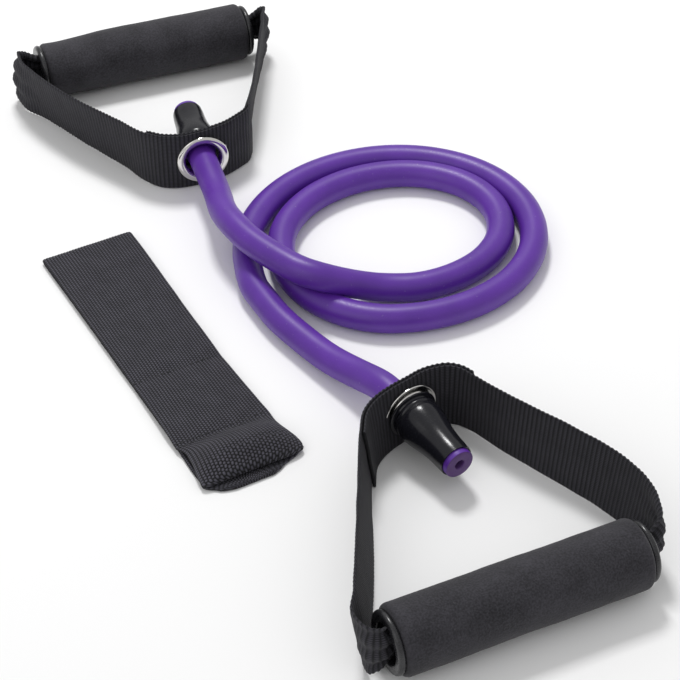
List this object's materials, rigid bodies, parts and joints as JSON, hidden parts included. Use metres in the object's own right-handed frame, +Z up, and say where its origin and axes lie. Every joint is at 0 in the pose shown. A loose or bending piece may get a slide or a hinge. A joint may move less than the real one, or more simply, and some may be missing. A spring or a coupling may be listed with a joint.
{
  "type": "resistance band",
  "caption": "Coiled latex exercise tube with foam-gripped webbing handles held by grommets and plugged ends, with a separate webbing door anchor.",
  "frame": {"origin": "middle of the bounding box of the handles and the door anchor, on the surface it lies on", "axes": "+Z up from the surface, +Y from the near handle to the far one, +X from the door anchor towards the coil"},
  "size_m": [0.2494, 0.4932, 0.034],
  "materials": {
    "latex": "satin",
    "plug": "satin",
    "sheath": "gloss",
    "grommet": "polished",
    "webbing": "woven",
    "core": "matte",
    "foam": "matte foam",
    "end_cap": "gloss",
    "anchor_webbing": "woven",
    "anchor_foam": "matte foam"
  },
  "bodies": {
    "tube": {"latex_tube_coil": "latex", "latex_tube_lead_near": "latex", "latex_tube_lead_far": "latex", "latex_tube_end_near": "latex", "latex_tube_end_far": "latex", "barrel_plug_near": "plug", "barrel_plug_far": "plug", "stopper_sheath_near": "sheath", "stopper_sheath_far": "sheath"},
    "grommet_near": {"grommet_eyelet_near": "grommet", "grommet_washer_near": "grommet"},
    "webbing_near": {"handle_webbing_near": "webbing"},
    "grip_near": {"grip_core_near": "core", "foam_grip_near": "foam", "grip_end_cap_left_near": "end_cap", "grip_end_cap_right_near": "end_cap"},
    "grommet_far": {"grommet_eyelet_far": "grommet", "grommet_washer_far": "grommet"},
    "webbing_far": {"handle_webbing_far": "webbing"},
    "grip_far": {"grip_core_far": "core", "foam_grip_far": "foam", "grip_end_cap_left_far": "end_cap", "grip_end_cap_right_far": "end_cap"},
    "door_anchor": {"door_anchor_webbing": "anchor_webbing", "door_anchor_foam": "anchor_foam"}
  },
  "joints": [
    {"name": "grommet_slide_near", "type": "slide", "parent": "tube", "child": "grommet_near", "axis": [-0.165, 0.9863, 0], "range_m": [0, 0.025]},
    {"name": "webbing_swivel_near", "type": "hinge", "parent": "grommet_near", "child": "webbing_near", "pos_m": [0.01925, -0.10865, 0.017], "axis": [-0.165, 0.9863, 0], "continuous": true},
    {"name": "grip_spin_near", "type": "hinge", "parent": "webbing_near", "child": "grip_near", "pos_m": [0.01225, -0.23065, 0.016], "axis": [1, 0, 0], "continuous": true},
    {"name": "grommet_slide_far", "type": "slide", "parent": "tube", "child": "grommet_far", "axis": [-0.1461, -0.9893, 0], "range_m": [0, 0.025]},
    {"name": "webbing_swivel_far", "type": "hinge", "parent": "grommet_far", "child": "webbing_far", "pos_m": [0.00832, 0.11492, 0.017], "axis": [-0.1461, -0.9893, 0], "continuous": true},
    {"name": "grip_spin_far", "type": "hinge", "parent": "webbing_far", "child": "grip_far", "pos_m": [0.02, 0.22635, 0.016], "axis": [-0.9971, 0.0767, 0], "continuous": true},
    {"name": "door_anchor_lift", "type": "slide", "parent": "tube", "child": "door_anchor", "axis": [0, 0, 1], "range_m": [0, 0.05]}
  ]
}
